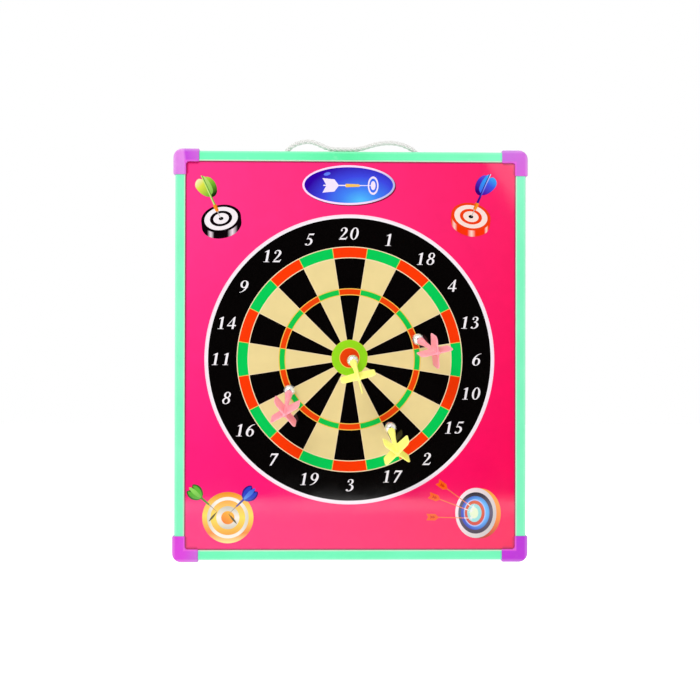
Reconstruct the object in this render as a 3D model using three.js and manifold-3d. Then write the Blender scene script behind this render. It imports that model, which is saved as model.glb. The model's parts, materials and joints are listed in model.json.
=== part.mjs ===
// Magnetic dartboard: a printed steel board in a plastic frame with corner caps,
// a carrying cord through the top rail, and four ball-headed magnetic darts on the board.
// Millimetres. +Z is up, the printed face looks towards -Y and the wall is the plane y = 0.
// The origin is the middle of the back, on the wall.
import * as THREE from "three";
import { mergeVertices } from "three/addons/utils/BufferGeometryUtils.js";
import Module from "manifold-3d";

const wasm = await Module();
wasm.setup();

// Whole board, over the corner caps.
const BOARD_W = 370;
const BOARD_H = 430;
const CAP_DEPTH = 12;

// Corner caps: L-shaped sleeves over the rail ends.
const CAP_ARM = 27;
const CAP_WIDTH = 13.3;
const CAP_OUTER_RADIUS = 9.5;
const CAP_INNER_RADIUS = 2;
const CAP_BEVEL = 0.8;

// Rails: plastic channels, open towards the middle of the board.
const RAIL_INSET = 2; // from the cap's outer face
const RAIL_WIDTH = 10.5;
const RAIL_DEPTH = 10;
const RAIL_BACK = -1;
const RAIL_WALL = 1.5;
const RAIL_RADIUS = 1.5;
const TOP_RAIL_HALF = 176;
const RAIL_BUTT_GAP = 0.2;
const SOCKET_PLAY = 0.2;
const SOCKET_DEPTH_PLAY = 0.15;

// Board panel: steel sheet, fibre core and back sheet, slid into the channels.
const SHEET_THICKNESS = 0.375;
const CORE_BACK = -3;
const CORE_FRONT = -9;
const PANEL_INSERT = 3.2;

// Carrying cord, its holes in the top rail and its knots.
const CORD_DIAMETER = 5.5;
const CORD_SIDES = 10;
const CORD_STEPS = 14;
const CORD_Y = -6;
const HOLE_CENTRE_X = 68.2;
const HOLE_LENGTH = 10.2;
const HOLE_WIDTH = 6.2;
const KNOT_CENTRE_X = 76.2;
const KNOT_CENTRE_Z = 208.6;
const KNOT_HALF = [4.2, 3.2, 2.7];
const CORD_ROUTE = [
  [-70.6, 209.0],
  [-67.4, 213.4],
  [-64.6, 216.6],
  [-61.0, 219.4],
  [-56.4, 221.6],
  [-51.0, 223.1],
  [-45.2, 223.9],
  [-39.4, 223.1],
  [-33.4, 220.9],
  [-27.4, 218.2],
  [-20.6, 216.3],
  [-13.4, 215.8],
  [-5.6, 215.8],
  [2.0, 215.9],
  [9.4, 216.8],
  [16.6, 218.6],
  [24.2, 220.9],
  [32.0, 222.5],
  [40.0, 223.0],
  [47.6, 222.4],
  [54.2, 220.8],
  [59.8, 218.5],
  [64.4, 215.9],
  [67.6, 213.0],
  [70.6, 209.0],
];

// Darts: a magnet ball and a moulded tail with four vanes.
const BALL_RADIUS = 6;
const BALL_GAP = 0.1; // between ball and steel sheet
const SEAT_GAP = 0.3; // between ball and tail
const SEAT_RIM_RADIUS = 3.9;
const NECK_RADIUS = 2.7;
const NECK_END = 18;
const SPINE_RADIUS = 2.2;
const VANE_FRONT = 32;
const VANE_REAR = 48;
const VANE_TIP = 18;
const VANE_SWEEP = 1.5; // of the front edge, towards the rear
const VANE_FRONT_CORNER = 2.5;
const VANE_REAR_CORNER = 4.5;
const VANE_THICKNESS = 1.3;
const TAIL_LENGTH = 49;

// Where each dart sits: x and z of its ball, the tail's lean away from straight out,
// the way it leans (degrees from straight down, towards +X) and its turn about its own axis.
const DARTS = [
  { x: 2, z: -5.3, lean: 24, aim: 16, turn: -2, colour: 0xf4f24a },
  { x: 70, z: 17, lean: 28, aim: 48, turn: 52, colour: 0xf799a4 },
  { x: -63.5, z: -36.5, lean: 30, aim: -8, turn: 42, colour: 0xf799a4 },
  { x: 41.5, z: -75, lean: 31, aim: 11, turn: 40, colour: 0xf4f24a },
];

// Derived levels.
const RAIL_OUTER_X = BOARD_W / 2 - RAIL_INSET;
const RAIL_OUTER_Z = BOARD_H / 2 - RAIL_INSET;
const OPENING_X = RAIL_OUTER_X - RAIL_WIDTH;
const OPENING_Z = RAIL_OUTER_Z - RAIL_WIDTH;
const PANEL_HALF_W = OPENING_X + PANEL_INSERT;
const PANEL_HALF_H = OPENING_Z + PANEL_INSERT;
const FACE_Y = CORE_FRONT - SHEET_THICKNESS;
const BALL_Y = FACE_Y - BALL_GAP - BALL_RADIUS;

const board = new THREE.Group();

// --- Helpers ------------------------------------------------------------------------

function plastic(colour, roughness = 0.4) {
  return new THREE.MeshStandardMaterial({ color: colour, roughness, metalness: 0 });
}

function metal(colour, roughness) {
  return new THREE.MeshStandardMaterial({ color: colour, roughness, metalness: 1 });
}

function addPart(group, name, geometry, material) {
  const mesh = new THREE.Mesh(geometry, material);
  mesh.name = name;
  group.add(mesh);
  return mesh;
}

function toSolid(geometry) {
  const bare = geometry.clone();
  bare.deleteAttribute("normal");
  bare.deleteAttribute("uv");
  const merged = mergeVertices(bare, 1e-4);
  return new wasm.Manifold(
    new wasm.Mesh({
      numProp: 3,
      vertProperties: new Float32Array(merged.attributes.position.array),
      triVerts: new Uint32Array(merged.index.array),
    }),
  );
}

function toGeometry(solid) {
  const mesh = solid.getMesh();
  const geometry = new THREE.BufferGeometry();
  geometry.setAttribute("position", new THREE.BufferAttribute(mesh.vertProperties, 3));
  geometry.setIndex(new THREE.BufferAttribute(mesh.triVerts, 1));
  return geometry;
}

// An axis-aligned block between two corners.
function block(low, high) {
  const size = high.map((value, i) => value - low[i]);
  const geometry = new THREE.BoxGeometry(...size);
  geometry.translate(...low.map((value, i) => value + size[i] / 2));
  return geometry;
}

// Turns a shape drawn in x and z, extruded along its own +Z, to run from yBack towards -Y.
function standUp(geometry, yBack) {
  geometry.rotateX(Math.PI / 2);
  geometry.translate(0, yBack, 0);
  return geometry;
}

// --- Panel --------------------------------------------------------------------------

function panelLayer(back, front) {
  return block([-PANEL_HALF_W, front, -PANEL_HALF_H], [PANEL_HALF_W, back, PANEL_HALF_H]);
}

function addPanel() {
  const backY = CORE_BACK + SHEET_THICKNESS;
  addPart(board, "front_sheet", panelLayer(CORE_FRONT, FACE_Y), plastic(0xff3383, 0.15));
  addPart(board, "core_panel", panelLayer(CORE_BACK, CORE_FRONT), plastic(0xb08a5e, 0.9));
  addPart(board, "back_sheet", panelLayer(backY, CORE_BACK), plastic(0xe9e7e2, 0.7));
}

// --- Rails --------------------------------------------------------------------------

// Channel section: x runs from the open side to the outer wall, y from the back to the front.
function channelShape() {
  const far = RAIL_WIDTH;
  const round = RAIL_RADIUS;
  const shape = new THREE.Shape();
  shape.moveTo(0, 0);
  shape.lineTo(far - round, 0);
  shape.absarc(far - round, round, round, -Math.PI / 2, 0);
  shape.absarc(far - round, RAIL_DEPTH - round, round, 0, Math.PI / 2);
  shape.lineTo(0, RAIL_DEPTH);
  shape.lineTo(0, RAIL_DEPTH - RAIL_WALL);
  shape.lineTo(far - RAIL_WALL, RAIL_DEPTH - RAIL_WALL);
  shape.lineTo(far - RAIL_WALL, RAIL_WALL);
  shape.lineTo(0, RAIL_WALL);
  return shape;
}

// A rail of this half length, lying along the given direction with its outer wall outwards.
function railGeometry(halfLength, outward, offset) {
  const depth = 2 * halfLength;
  const geometry = new THREE.ExtrudeGeometry(channelShape(), {
    depth,
    bevelEnabled: false,
    curveSegments: 3,
  });
  geometry.translate(offset, 0, -halfLength);
  const towardsFront = new THREE.Vector3(0, -1, 0);
  const along = new THREE.Vector3().crossVectors(outward, towardsFront);
  geometry.applyMatrix4(new THREE.Matrix4().makeBasis(outward, towardsFront, along));
  geometry.translate(0, RAIL_BACK, 0);
  return geometry;
}

function cordHole(x) {
  const half = (HOLE_LENGTH - HOLE_WIDTH) / 2;
  const radius = HOLE_WIDTH / 2;
  const shape = new THREE.Shape();
  shape.absarc(half, 0, radius, -Math.PI / 2, Math.PI / 2);
  shape.absarc(-half, 0, radius, Math.PI / 2, (3 * Math.PI) / 2);
  const geometry = new THREE.ExtrudeGeometry(shape, {
    depth: 4 * RAIL_WALL,
    bevelEnabled: false,
    curveSegments: 6,
  });
  geometry.translate(x, CORD_Y, RAIL_OUTER_Z - 2 * RAIL_WALL);
  return geometry;
}

function addRails() {
  const mint = plastic(0x7ff5bf, 0.35);
  const up = new THREE.Vector3(0, 0, 1);
  const down = new THREE.Vector3(0, 0, -1);
  const left = new THREE.Vector3(-1, 0, 0);
  const right = new THREE.Vector3(1, 0, 0);
  const sideHalf = OPENING_Z - RAIL_BUTT_GAP;
  let top = toSolid(railGeometry(TOP_RAIL_HALF, up, OPENING_Z));
  for (const x of [-HOLE_CENTRE_X, HOLE_CENTRE_X]) top = top.subtract(toSolid(cordHole(x)));
  addPart(board, "rail_top", toGeometry(top), mint);
  addPart(board, "rail_bottom", railGeometry(TOP_RAIL_HALF, down, OPENING_Z), mint);
  addPart(board, "rail_left", railGeometry(sideHalf, left, OPENING_X), mint);
  addPart(board, "rail_right", railGeometry(sideHalf, right, OPENING_X), mint);
}

// --- Corner caps --------------------------------------------------------------------

// The L outline of the top right cap, in x and z from the board's centre.
function capShape() {
  const right = BOARD_W / 2;
  const top = BOARD_H / 2;
  const inRight = right - CAP_WIDTH;
  const inTop = top - CAP_WIDTH;
  const shape = new THREE.Shape();
  shape.moveTo(right - CAP_ARM, top);
  shape.lineTo(right - CAP_ARM, inTop);
  shape.lineTo(inRight - CAP_INNER_RADIUS, inTop);
  shape.absarc(
    inRight - CAP_INNER_RADIUS,
    inTop - CAP_INNER_RADIUS,
    CAP_INNER_RADIUS,
    Math.PI / 2,
    0,
    true,
  );
  shape.lineTo(inRight, top - CAP_ARM);
  shape.lineTo(right, top - CAP_ARM);
  shape.absarc(
    right - CAP_OUTER_RADIUS,
    top - CAP_OUTER_RADIUS,
    CAP_OUTER_RADIUS,
    0,
    Math.PI / 2,
  );
  return shape;
}

// The room that the two rails and the panel take inside the top right cap.
function capSocket() {
  const play = SOCKET_PLAY;
  const past = BOARD_W / 2 - 2 * CAP_ARM;
  const pastZ = BOARD_H / 2 - 2 * CAP_ARM;
  const front = RAIL_BACK - RAIL_DEPTH - SOCKET_DEPTH_PLAY;
  const back = RAIL_BACK + SOCKET_DEPTH_PLAY;
  const slotFront = RAIL_BACK - RAIL_DEPTH + RAIL_WALL;
  const slotBack = RAIL_BACK - RAIL_WALL;
  const level = OPENING_Z - play;
  const topRail = block(
    [past, front, level],
    [TOP_RAIL_HALF + play, back, RAIL_OUTER_Z + play],
  );
  const sideRail = block(
    [OPENING_X - play, front, pastZ],
    [RAIL_OUTER_X + play, back, level + play],
  );
  const panel = block(
    [past, slotFront, pastZ],
    [PANEL_HALF_W + play, slotBack, PANEL_HALF_H + play],
  );
  return toSolid(topRail).add(toSolid(sideRail)).add(toSolid(panel));
}

function capSolid() {
  const outline = new THREE.ExtrudeGeometry(capShape(), {
    depth: CAP_DEPTH - 2 * CAP_BEVEL,
    curveSegments: 6,
    bevelThickness: CAP_BEVEL,
    bevelSize: CAP_BEVEL,
    bevelOffset: -CAP_BEVEL,
    bevelSegments: 2,
  });
  standUp(outline, -CAP_BEVEL);
  return toSolid(outline).subtract(capSocket());
}

function addCaps() {
  const purple = plastic(0xd05ae6, 0.4);
  const corner = capSolid();
  const corners = [
    { name: "corner_cap_top_right", mirrorX: false, mirrorZ: false },
    { name: "corner_cap_top_left", mirrorX: true, mirrorZ: false },
    { name: "corner_cap_bottom_right", mirrorX: false, mirrorZ: true },
    { name: "corner_cap_bottom_left", mirrorX: true, mirrorZ: true },
  ];
  for (const { name, mirrorX, mirrorZ } of corners) {
    let solid = corner;
    if (mirrorX) solid = solid.mirror([1, 0, 0]);
    if (mirrorZ) solid = solid.mirror([0, 0, 1]);
    addPart(board, name, toGeometry(solid), purple);
  }
}

// --- Cord ---------------------------------------------------------------------------

function cordSection() {
  const shape = new THREE.Shape();
  for (let i = 0; i < CORD_SIDES; i++) {
    const angle = (2 * Math.PI * i) / CORD_SIDES;
    const x = (CORD_DIAMETER / 2) * Math.cos(angle);
    const y = (CORD_DIAMETER / 2) * Math.sin(angle);
    if (i === 0) shape.moveTo(x, y);
    else shape.lineTo(x, y);
  }
  return shape;
}

function addCord() {
  const rope = plastic(0xf3f1ec, 0.9);
  const points = CORD_ROUTE.map(([x, z]) => new THREE.Vector3(x, CORD_Y, z));
  const route = new THREE.CatmullRomCurve3(points, false, "centripetal");
  const tube = new THREE.ExtrudeGeometry(cordSection(), {
    steps: CORD_STEPS,
    extrudePath: route,
    bevelEnabled: false,
  });
  addPart(board, "hang_cord", tube, rope);
  for (const [name, side] of [["cord_knot_left", -1], ["cord_knot_right", 1]]) {
    const knot = new THREE.SphereGeometry(1, 12, 8);
    knot.scale(...KNOT_HALF);
    knot.translate(side * KNOT_CENTRE_X, CORD_Y, KNOT_CENTRE_Z);
    addPart(board, name, knot, rope);
  }
}

// --- Darts --------------------------------------------------------------------------

// The tail's round spine about +Z, hollowed at the front to sit on the ball at the origin.
function spineGeometry() {
  const seat = BALL_RADIUS + SEAT_GAP;
  const rimAngle = Math.asin(SEAT_RIM_RADIUS / seat);
  const profile = [];
  const seatSteps = 3;
  for (let i = 0; i <= seatSteps; i++) {
    const angle = (rimAngle * i) / seatSteps;
    profile.push(new THREE.Vector2(seat * Math.sin(angle), seat * Math.cos(angle)));
  }
  profile.push(new THREE.Vector2(SEAT_RIM_RADIUS, seat));
  profile.push(new THREE.Vector2(NECK_RADIUS, NECK_END));
  profile.push(new THREE.Vector2(SPINE_RADIUS, VANE_REAR));
  profile.push(new THREE.Vector2(SPINE_RADIUS / 2, TAIL_LENGTH));
  profile.push(new THREE.Vector2(0, TAIL_LENGTH));
  const geometry = new THREE.LatheGeometry(profile, 12);
  geometry.rotateX(Math.PI / 2);
  return geometry;
}

// One vane in the x-z plane: x outwards from the spine, z back from the ball.
function vaneGeometry() {
  const front = VANE_FRONT_CORNER;
  const rear = VANE_REAR_CORNER;
  const shape = new THREE.Shape();
  const tipFront = VANE_FRONT + VANE_SWEEP;
  shape.moveTo(0, VANE_FRONT);
  shape.lineTo(VANE_TIP - front, tipFront);
  shape.quadraticCurveTo(VANE_TIP, tipFront, VANE_TIP, tipFront + front);
  shape.lineTo(VANE_TIP, VANE_REAR - rear);
  shape.quadraticCurveTo(VANE_TIP, VANE_REAR, VANE_TIP - rear, VANE_REAR);
  shape.lineTo(0, VANE_REAR);
  const geometry = new THREE.ExtrudeGeometry(shape, {
    depth: VANE_THICKNESS,
    bevelEnabled: false,
    curveSegments: 4,
  });
  geometry.translate(0, 0, -VANE_THICKNESS / 2);
  geometry.rotateX(Math.PI / 2);
  return geometry;
}

function tailGeometry() {
  let tail = toSolid(spineGeometry());
  for (let i = 0; i < 4; i++) {
    const vane = vaneGeometry();
    vane.rotateZ((i * Math.PI) / 2);
    tail = tail.add(toSolid(vane));
  }
  return toGeometry(tail);
}

// Turns the tail's +Z along its lean, with its first vane on the low side, then about its axis.
function leanTail(group, { lean, aim, turn }) {
  const leanRad = THREE.MathUtils.degToRad(lean);
  const aimRad = THREE.MathUtils.degToRad(aim);
  const out = new THREE.Vector3(0, -1, 0);
  const low = new THREE.Vector3(Math.sin(aimRad), 0, -Math.cos(aimRad));
  const axis = new THREE.Vector3()
    .addScaledVector(out, Math.cos(leanRad))
    .addScaledVector(low, Math.sin(leanRad));
  const across = new THREE.Vector3().crossVectors(out, low);
  const lowVane = new THREE.Vector3().crossVectors(across, axis);
  const basis = new THREE.Matrix4().makeBasis(lowVane, across, axis);
  group.quaternion.setFromRotationMatrix(basis);
  group.rotateZ(THREE.MathUtils.degToRad(turn));
}

function addDarts() {
  const chrome = metal(0xe6e6e8, 0.08);
  const tail = tailGeometry();
  DARTS.forEach((dart, i) => {
    const name = `dart_${i + 1}`;
    const place = new THREE.Group();
    place.position.set(dart.x, BALL_Y, dart.z);
    board.add(place);
    addPart(place, `${name}_magnet_ball`, new THREE.SphereGeometry(BALL_RADIUS, 16, 10), chrome);
    const turned = new THREE.Group();
    leanTail(turned, dart);
    place.add(turned);
    addPart(turned, `${name}_tail`, tail, plastic(dart.colour, 0.45));
  });
}

addPanel();
addRails();
addCaps();
addCord();
addDarts();

export default board;
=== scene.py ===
"""Looks of the magnetic dartboard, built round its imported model.

Metres, +Z up, the printed face towards -Y. Outlines are drawn in millimetres, in x and z of the board.
"""

import json
import math

import bpy
from mathutils import Matrix, Vector
from mathutils.geometry import delaunay_2d_cdt


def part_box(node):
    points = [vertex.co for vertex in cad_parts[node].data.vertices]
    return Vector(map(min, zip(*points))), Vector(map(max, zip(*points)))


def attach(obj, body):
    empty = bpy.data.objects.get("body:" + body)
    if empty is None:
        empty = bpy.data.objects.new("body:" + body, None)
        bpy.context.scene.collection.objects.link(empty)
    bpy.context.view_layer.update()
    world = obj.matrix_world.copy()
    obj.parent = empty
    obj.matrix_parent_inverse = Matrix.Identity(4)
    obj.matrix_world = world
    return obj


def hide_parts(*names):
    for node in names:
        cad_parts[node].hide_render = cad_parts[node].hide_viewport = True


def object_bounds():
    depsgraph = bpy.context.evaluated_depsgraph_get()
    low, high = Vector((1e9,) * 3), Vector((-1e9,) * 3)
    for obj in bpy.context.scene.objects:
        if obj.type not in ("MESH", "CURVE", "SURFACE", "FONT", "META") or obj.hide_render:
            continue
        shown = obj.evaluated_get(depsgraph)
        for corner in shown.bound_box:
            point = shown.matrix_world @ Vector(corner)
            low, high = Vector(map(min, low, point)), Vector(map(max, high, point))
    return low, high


MM = 0.001
SQUARE = ((-1, -1), (1, -1), (1, 1), (-1, 1))  # the corners of a square, anticlockwise

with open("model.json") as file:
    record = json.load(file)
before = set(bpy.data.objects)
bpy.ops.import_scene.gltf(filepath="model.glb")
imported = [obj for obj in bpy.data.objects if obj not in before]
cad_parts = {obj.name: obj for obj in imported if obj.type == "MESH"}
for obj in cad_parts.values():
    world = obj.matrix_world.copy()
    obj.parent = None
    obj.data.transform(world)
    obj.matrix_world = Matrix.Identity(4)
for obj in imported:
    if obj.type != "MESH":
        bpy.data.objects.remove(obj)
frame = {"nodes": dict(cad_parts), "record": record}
cad_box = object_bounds()
scene = bpy.context.scene


# --- Camera ---------------------------------------------------------------------------

CAMERA_DISTANCE = 1.1  # from the printed face
CAMERA_LENS = 54.2
CAMERA_ASIDE = -0.0007
# How far the camera stands to the left of straight on and below it, and its roll, in degrees.
CAMERA_TURN, CAMERA_DIP, CAMERA_ROLL = 1.1, 0.45, 0.13


def add_camera():
    """A camera almost straight in front of the middle of the object."""
    low, high = cad_box
    target = Vector((CAMERA_ASIDE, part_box("front_sheet")[0].y, (low.z + high.z) / 2))
    data = bpy.data.cameras.new("camera")
    data.lens = CAMERA_LENS
    camera = new_object("camera", data)
    facing = Matrix.Rotation(math.radians(-CAMERA_TURN), 4, "Z")
    facing @= Matrix.Rotation(math.radians(90 + CAMERA_DIP), 4, "X")
    facing @= Matrix.Rotation(math.radians(CAMERA_ROLL), 4, "Z")
    back = facing.to_3x3() @ Vector((0, 0, CAMERA_DISTANCE))
    camera.matrix_world = Matrix.Translation(target + back) @ facing
    scene.camera = camera


# --- Curves and outlines --------------------------------------------------------------


def around(count):
    """The cosine and sine of even steps round a circle."""
    angles = [2 * math.pi * i / count for i in range(count)]
    return [(math.cos(angle), math.sin(angle)) for angle in angles]


def ahead(line, i):
    """The direction in which a line runs at its point i."""
    return (line[min(i + 1, len(line) - 1)] - line[max(i - 1, 0)]).normalized()


def lengths(line):
    """How far along a line each of its points is."""
    run = [0.0]
    for a, b in zip(line, line[1:]):
        run.append(run[-1] + (b - a).length)
    return run


def curve_through(points, steps, closed=False):
    """A centripetal Catmull-Rom curve through points of any dimension, with steps points a stretch."""
    found = []
    points = [Vector(p) for p in points]
    if closed:
        points = [points[-1], *points, points[0], points[1]]
    else:
        points = [2 * points[0] - points[1], *points, 2 * points[-1] - points[-2]]
    for a, b, c, d in zip(points, points[1:], points[2:], points[3:]):
        ta = 0.0
        tb = ta + (b - a).length ** 0.5
        tc = tb + (c - b).length ** 0.5
        td = tc + (d - c).length ** 0.5
        for i in range(steps):
            t = tb + (tc - tb) * i / steps
            ab = a.lerp(b, (t - ta) / (tb - ta))
            bc = b.lerp(c, (t - tb) / (tc - tb))
            cd = c.lerp(d, (t - tc) / (td - tc))
            abc = ab.lerp(bc, (t - ta) / (tc - ta))
            bcd = bc.lerp(cd, (t - tb) / (td - tb))
            found.append(abc.lerp(bcd, (t - tb) / (tc - tb)))
    return found if closed else [*found, points[-2]]


def ellipse(x, z, half_x, half_z, tilt=0.0, count=72):
    """An ellipse's outline. tilt turns it, in degrees."""
    turn = Matrix.Rotation(math.radians(tilt), 2)
    return [turn @ Vector((half_x * c, half_z * s)) + Vector((x, z)) for c, s in around(count)]


def circle(x, z, radius, count=72):
    return ellipse(x, z, radius, radius, count=count)


def rounded(corners, segments=5):
    """A closed outline through corners (x, y, radius), with an arc of that radius at each."""
    outline = []
    for i, (x, y, radius) in enumerate(corners):
        here = Vector((x, y))
        if radius <= 0:
            outline.append(here)
            continue
        before = (Vector(corners[i - 1][:2]) - here).normalized()
        after = (Vector(corners[(i + 1) % len(corners)][:2]) - here).normalized()
        half = before.angle(after) / 2
        centre = here + (before + after).normalized() * (radius / math.sin(half))
        first = here + before * (radius / math.tan(half)) - centre
        last = here + after * (radius / math.tan(half)) - centre
        turn = math.atan2(first.x * last.y - first.y * last.x, first.dot(last))
        for k in range(segments + 1):
            outline.append(centre + Matrix.Rotation(turn * k / segments, 2) @ first)
    return outline


def brush(points, steps=5):
    """The outline of a brush stroke through points (x, z, width)."""
    line = curve_through(points, steps)
    left, right = [], []
    for i, point in enumerate(line):
        run = ahead(line, i)
        side = Vector((-run.y, run.x)).normalized() * (point.z / 2)
        left.append(point.xy + side)
        right.append(point.xy - side)
    return left + right[::-1]


# --- Pieces ---------------------------------------------------------------------------


def new_object(name, data):
    made = bpy.data.objects.new(name, data)
    scene.collection.objects.link(made)
    return made


def new_mesh(name, vertices, faces, *materials):
    mesh = bpy.data.meshes.new(name)
    mesh.from_pydata([tuple(v) for v in vertices], [], faces)
    for material in materials:
        mesh.materials.append(material)
    mesh.update()
    return mesh


def make_piece(name, vertices, faces, material, body="board", smooth_angle=None):
    """A mesh piece that rides on a body. With smooth_angle it is shaded smooth below that many degrees."""
    piece = new_object(name, new_mesh(name, vertices, faces, material))
    if smooth_angle is not None:
        shade_smooth(piece, smooth_angle)
    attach(piece, body)
    return piece


def shade_smooth(piece, angle):
    mesh = piece.data
    mesh.polygons.foreach_set("use_smooth", [True] * len(mesh.polygons))
    mesh.set_sharp_from_angle(angle=math.radians(angle))


def keep_flats_flat(piece):
    """Gives the large faces their own normals, so that only the rounded edges shade round."""
    modifier = piece.modifiers.new("flats", "WEIGHTED_NORMAL")
    modifier.keep_sharp = True
    modifier.weight = 100


def settle(piece):
    """Applies the piece's modifiers to its mesh."""
    depsgraph = bpy.context.evaluated_depsgraph_get()
    mesh = bpy.data.meshes.new_from_object(piece.evaluated_get(depsgraph), depsgraph=depsgraph)
    piece.modifiers.clear()
    piece.data = mesh


def cut(piece, cutters):
    """Takes closed cutter meshes, each (vertices, faces), out of the piece."""
    for vertices, faces in cutters:
        cutter = new_object("cutter", new_mesh("cutter", vertices, faces))
        modifier = piece.modifiers.new("cut", "BOOLEAN")
        modifier.object = cutter
        modifier.solver = "EXACT"
        bpy.context.view_layer.update()
        settle(piece)
        bpy.data.objects.remove(cutter)


def stack(loops):
    """A closed solid through loops of the same number of points, as (vertices, faces)."""
    count = len(loops[0])
    vertices = [v for loop in loops for v in loop]
    faces = [tuple(reversed(range(count)))]
    for k in range(len(loops) - 1):
        for i in range(count):
            j = (i + 1) % count
            faces.append((k * count + i, k * count + j, (k + 1) * count + j, (k + 1) * count + i))
    faces.append(tuple(range((len(loops) - 1) * count, len(loops) * count)))
    return vertices, faces


def joined(solids):
    """Several (vertices, faces) as one."""
    vertices, faces = [], []
    for more_vertices, more_faces in solids:
        faces += [tuple(i + len(vertices) for i in face) for face in more_faces]
        vertices += more_vertices
    return vertices, faces


def standing_block(low, high):
    """An axis-aligned block between two corners, as (vertices, faces)."""
    loops = []
    for y in (high[1], low[1]):
        ring = [(low[0], low[2]), (high[0], low[2]), (high[0], high[2]), (low[0], high[2])]
        loops.append([Vector((x, y, z)) for x, z in ring])
    return stack(loops)


def turned(profile, sides):
    """A solid turned about +Z from a profile of (radius, height) points, as (vertices, faces)."""
    return stack([[Vector((radius * c, radius * s, z)) for c, s in around(sides)] for radius, z in profile])


def tube(line, radius, sides):
    """A closed round tube along a line, as (vertices, faces, uv by face corner): u round it, v along it."""
    loops, run = [], lengths(line)
    side = (line[1] - line[0]).orthogonal()
    for i, centre in enumerate(line):
        along = ahead(line, i)
        side = (side - along * side.dot(along)).normalized()
        up = along.cross(side)
        loops.append([centre + (side * c + up * s) * radius for c, s in around(sides)])
    vertices, faces = stack(loops)
    uvs = [(0.0, run[0])] * sides
    for start, end in zip(run, run[1:]):
        for i in range(sides):
            u, following = i / sides, (i + 1) / sides
            uvs += [(u, start), (following, start), (following, end), (u, end)]
    uvs += [(0.0, run[-1])] * sides
    return vertices, faces, uvs


# --- Materials ------------------------------------------------------------------------

LIGHT_ON_FACE = 1.25  # what the studio light makes of a white surface that faces the camera
WHITE = (1, 1, 1, 1)


def paint(red, green, blue):
    """The surface colour that shows as this sRGB colour in the studio light."""
    values = []
    for level in (red, green, blue):
        level /= 255
        linear = level / 12.92 if level <= 0.04045 else ((level + 0.055) / 1.055) ** 2.4
        values.append(linear / LIGHT_ON_FACE)
    return (*values, 1.0)


class Nodes:
    """The node tree of a material or world, emptied, and short ways to fill it."""

    def __init__(self, owner):
        owner.use_nodes = True
        self.tree = owner.node_tree
        self.tree.nodes.clear()

    def feed(self, socket, value):
        """Links an output to an input, or sets the input's value."""
        if isinstance(value, bpy.types.NodeSocket):
            self.tree.links.new(value, socket)
        else:
            socket.default_value = value

    def add(self, kind, inputs=None, **settings):
        """A new node with settings and with its inputs fed."""
        node = self.tree.nodes.new("ShaderNode" + kind)
        for name, value in settings.items():
            setattr(node, name, value)
        for name, value in (inputs or {}).items():
            self.feed(node.inputs[name], value)
        return node


class Shader(Nodes):
    """A material with one Principled shader, and short ways to feed it."""

    def __init__(self, name, inputs=None):
        self.material = bpy.data.materials.new(name)
        super().__init__(self.material)
        self.surface = self.add("BsdfPrincipled", inputs)
        self.add("OutputMaterial", {"Surface": self.surface.outputs[0]})
        self.coordinates = self.add("TexCoord").outputs
        self.place = self.coordinates["Object"]

    def at(self, *scale, source="Object"):
        """The place on the piece, in metres, stretched along its axes."""
        return self.add("Mapping", {"Vector": self.coordinates[source], "Scale": scale}).outputs[0]

    def noise(self, scale, detail=3.0, place=None, rough=0.5):
        inputs = {"Vector": place or self.place, "Scale": scale, "Detail": detail, "Roughness": rough}
        return self.add("TexNoise", inputs).outputs["Fac"]

    def maths(self, operation, first, second=0.0):
        return self.add("Math", {0: first, 1: second}, operation=operation).outputs[0]

    def spread(self, value, low, high, to_low=0.0, to_high=1.0):
        """value from the range low to high, as to_low to to_high."""
        inputs = {"From Min": low, "From Max": high, "To Min": to_low, "To Max": to_high, "Value": value}
        return self.add("MapRange", inputs).outputs["Result"]

    def mix(self, share, first, second):
        """Two colours mixed by share."""
        return self.add("Mix", {"Factor": share, 6: first, 7: second}, data_type="RGBA").outputs[2]

    def ramp(self, value, stops):
        """A colour for value from stops (place, sRGB colour)."""
        node = self.add("ValToRGB", {"Fac": value})
        node.color_ramp.elements.remove(node.color_ramp.elements[0])
        first = node.color_ramp.elements[0]
        first.position, first.color = stops[0][0], paint(*stops[0][1])
        for place, colour in stops[1:]:
            node.color_ramp.elements.new(place).color = paint(*colour)
        return node.outputs["Color"]

    def tone(self, colour):
        """A colour given as sRGB levels, or as a function of the shader."""
        return colour(self) if callable(colour) else paint(*colour)

    def beyond(self, half_x, half_z):
        """How far a point lies outside a rectangle round the board's middle, given in millimetres.

        Gives the larger and the smaller of the distances aside and above, in metres, negative inside.
        """
        axes = self.add("SeparateXYZ", {0: self.place}).outputs
        aside = self.maths("SUBTRACT", self.maths("ABSOLUTE", axes["X"]), half_x * MM)
        above = self.maths("SUBTRACT", self.maths("ABSOLUTE", axes["Z"]), half_z * MM)
        return self.maths("MAXIMUM", aside, above), self.maths("MINIMUM", aside, above)

    def colour(self, value):
        self.feed(self.surface.inputs["Base Color"], value)

    def roughness(self, value):
        self.feed(self.surface.inputs["Roughness"], value)

    def bump(self, *heights):
        """Bumps from (height, depth in metres), one on top of the other. Gives the finished material."""
        below = {}
        for height, depth in heights:
            bump = self.add("Bump", {"Distance": depth, "Height": height, **below})
            below = {"Normal": bump.outputs[0]}
        self.feed(self.surface.inputs["Normal"], below["Normal"])
        return self.material


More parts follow.
